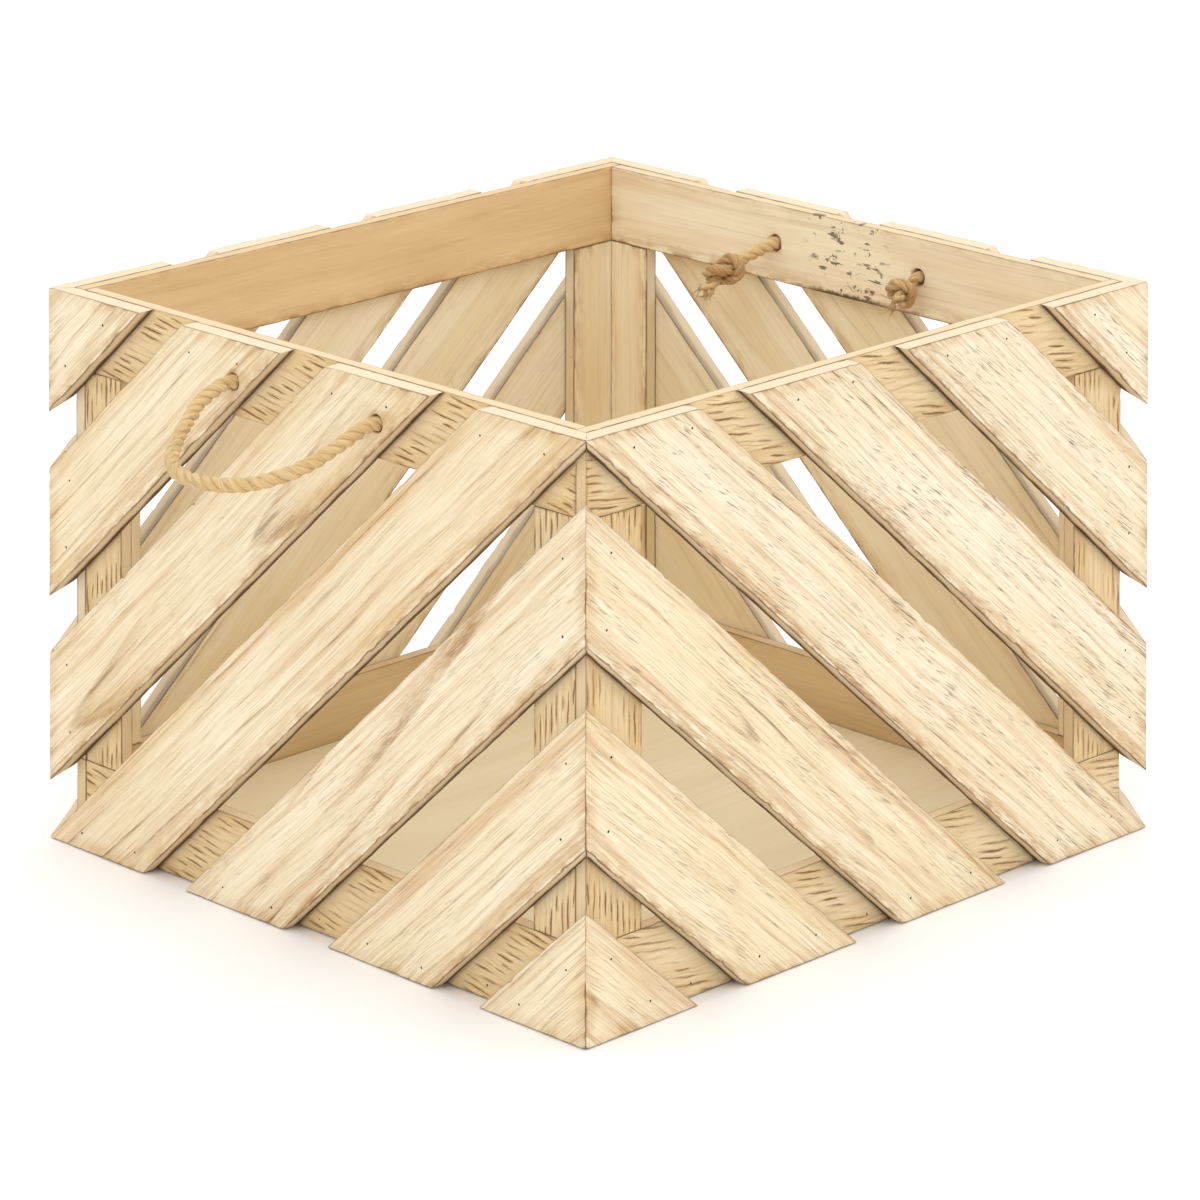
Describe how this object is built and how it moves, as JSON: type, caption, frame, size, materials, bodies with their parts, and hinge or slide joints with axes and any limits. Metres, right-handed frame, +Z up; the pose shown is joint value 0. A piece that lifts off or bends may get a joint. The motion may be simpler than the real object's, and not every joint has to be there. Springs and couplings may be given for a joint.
{
  "type": "wooden crate",
  "caption": "Open square slatted wooden crate with diagonal chevron walls on framed sides, a sheet floor and knotted rope handles that swing.",
  "frame": {"origin": "centre of the base, on the plane the crate stands on", "axes": "+Z up, +X from the left handle wall to the right handle wall, front wall faces -Y; slats rise to the vertical edges at (-X,-Y) and (+X,+Y)"},
  "size_m": [0.5754, 0.42, 0.3],
  "materials": {
    "slat_wood": "raw pale softwood, rough sawn and lightly scorched along the edges",
    "frame_wood": "raw tan wood, dark saw marks on the outer faces, smooth inside",
    "floor_board": "smooth sheet",
    "rope": "three-strand natural fibre rope",
    "brad_steel": "dull dark"
  },
  "bodies": {
    "crate": {"floor_panel": "floor_board", "rail_top_front": "frame_wood", "rail_top_right": "frame_wood", "rail_top_back": "frame_wood", "rail_top_left": "frame_wood", "rail_bottom_front": "frame_wood", "rail_bottom_right": "frame_wood", "rail_bottom_back": "frame_wood", "rail_bottom_left": "frame_wood", "stile_front_left": "frame_wood", "stile_front_right": "frame_wood", "stile_right_left": "frame_wood", "stile_right_right": "frame_wood", "stile_back_left": "frame_wood", "stile_back_right": "frame_wood", "stile_left_left": "frame_wood", "stile_left_right": "frame_wood", "slat_front_1": "slat_wood", "slat_front_2": "slat_wood", "slat_front_3": "slat_wood", "slat_front_4": "slat_wood", "slat_front_5": "slat_wood", "slat_front_6": "slat_wood", "slat_front_7": "slat_wood", "slat_right_1": "slat_wood", "slat_right_2": "slat_wood", "slat_right_3": "slat_wood", "slat_right_4": "slat_wood", "slat_right_5": "slat_wood", "slat_right_6": "slat_wood", "slat_right_7": "slat_wood", "slat_back_1": "slat_wood", "slat_back_2": "slat_wood", "slat_back_3": "slat_wood", "slat_back_4": "slat_wood", "slat_back_5": "slat_wood", "slat_back_6": "slat_wood", "slat_back_7": "slat_wood", "slat_left_1": "slat_wood", "slat_left_2": "slat_wood", "slat_left_3": "slat_wood", "slat_left_4": "slat_wood", "slat_left_5": "slat_wood", "slat_left_6": "slat_wood", "slat_left_7": "slat_wood", "brads_front": "brad_steel", "brads_right": "brad_steel", "brads_back": "brad_steel", "brads_left": "brad_steel", "floor_brads": "brad_steel"},
    "left_rope_ends": {"rope_end_left_a": "rope", "rope_end_left_b": "rope"},
    "left_handle": {"rope_loop_left": "rope"},
    "right_rope_ends": {"rope_end_right_a": "rope", "rope_end_right_b": "rope"},
    "right_handle": {"rope_loop_right": "rope"}
  },
  "joints": [
    {"name": "left_rope_slide", "type": "slide", "parent": "crate", "child": "left_rope_ends", "axis": [-1, 0, 0], "range_m": [-0.0025, 0.0095]},
    {"name": "left_handle_swing", "type": "hinge", "parent": "left_rope_ends", "child": "left_handle", "pos_m": [-0.217, 0, 0.278], "axis": [0, 1, 0], "range_deg": [-68, 110]},
    {"name": "right_rope_slide", "type": "slide", "parent": "crate", "child": "right_rope_ends", "axis": [1, 0, 0], "range_m": [-0.0025, 0.0025]},
    {"name": "right_handle_swing", "type": "hinge", "parent": "right_rope_ends", "child": "right_handle", "pos_m": [0.217, 0, 0.278], "axis": [0, -1, 0], "range_deg": [-68, 110]}
  ]
}
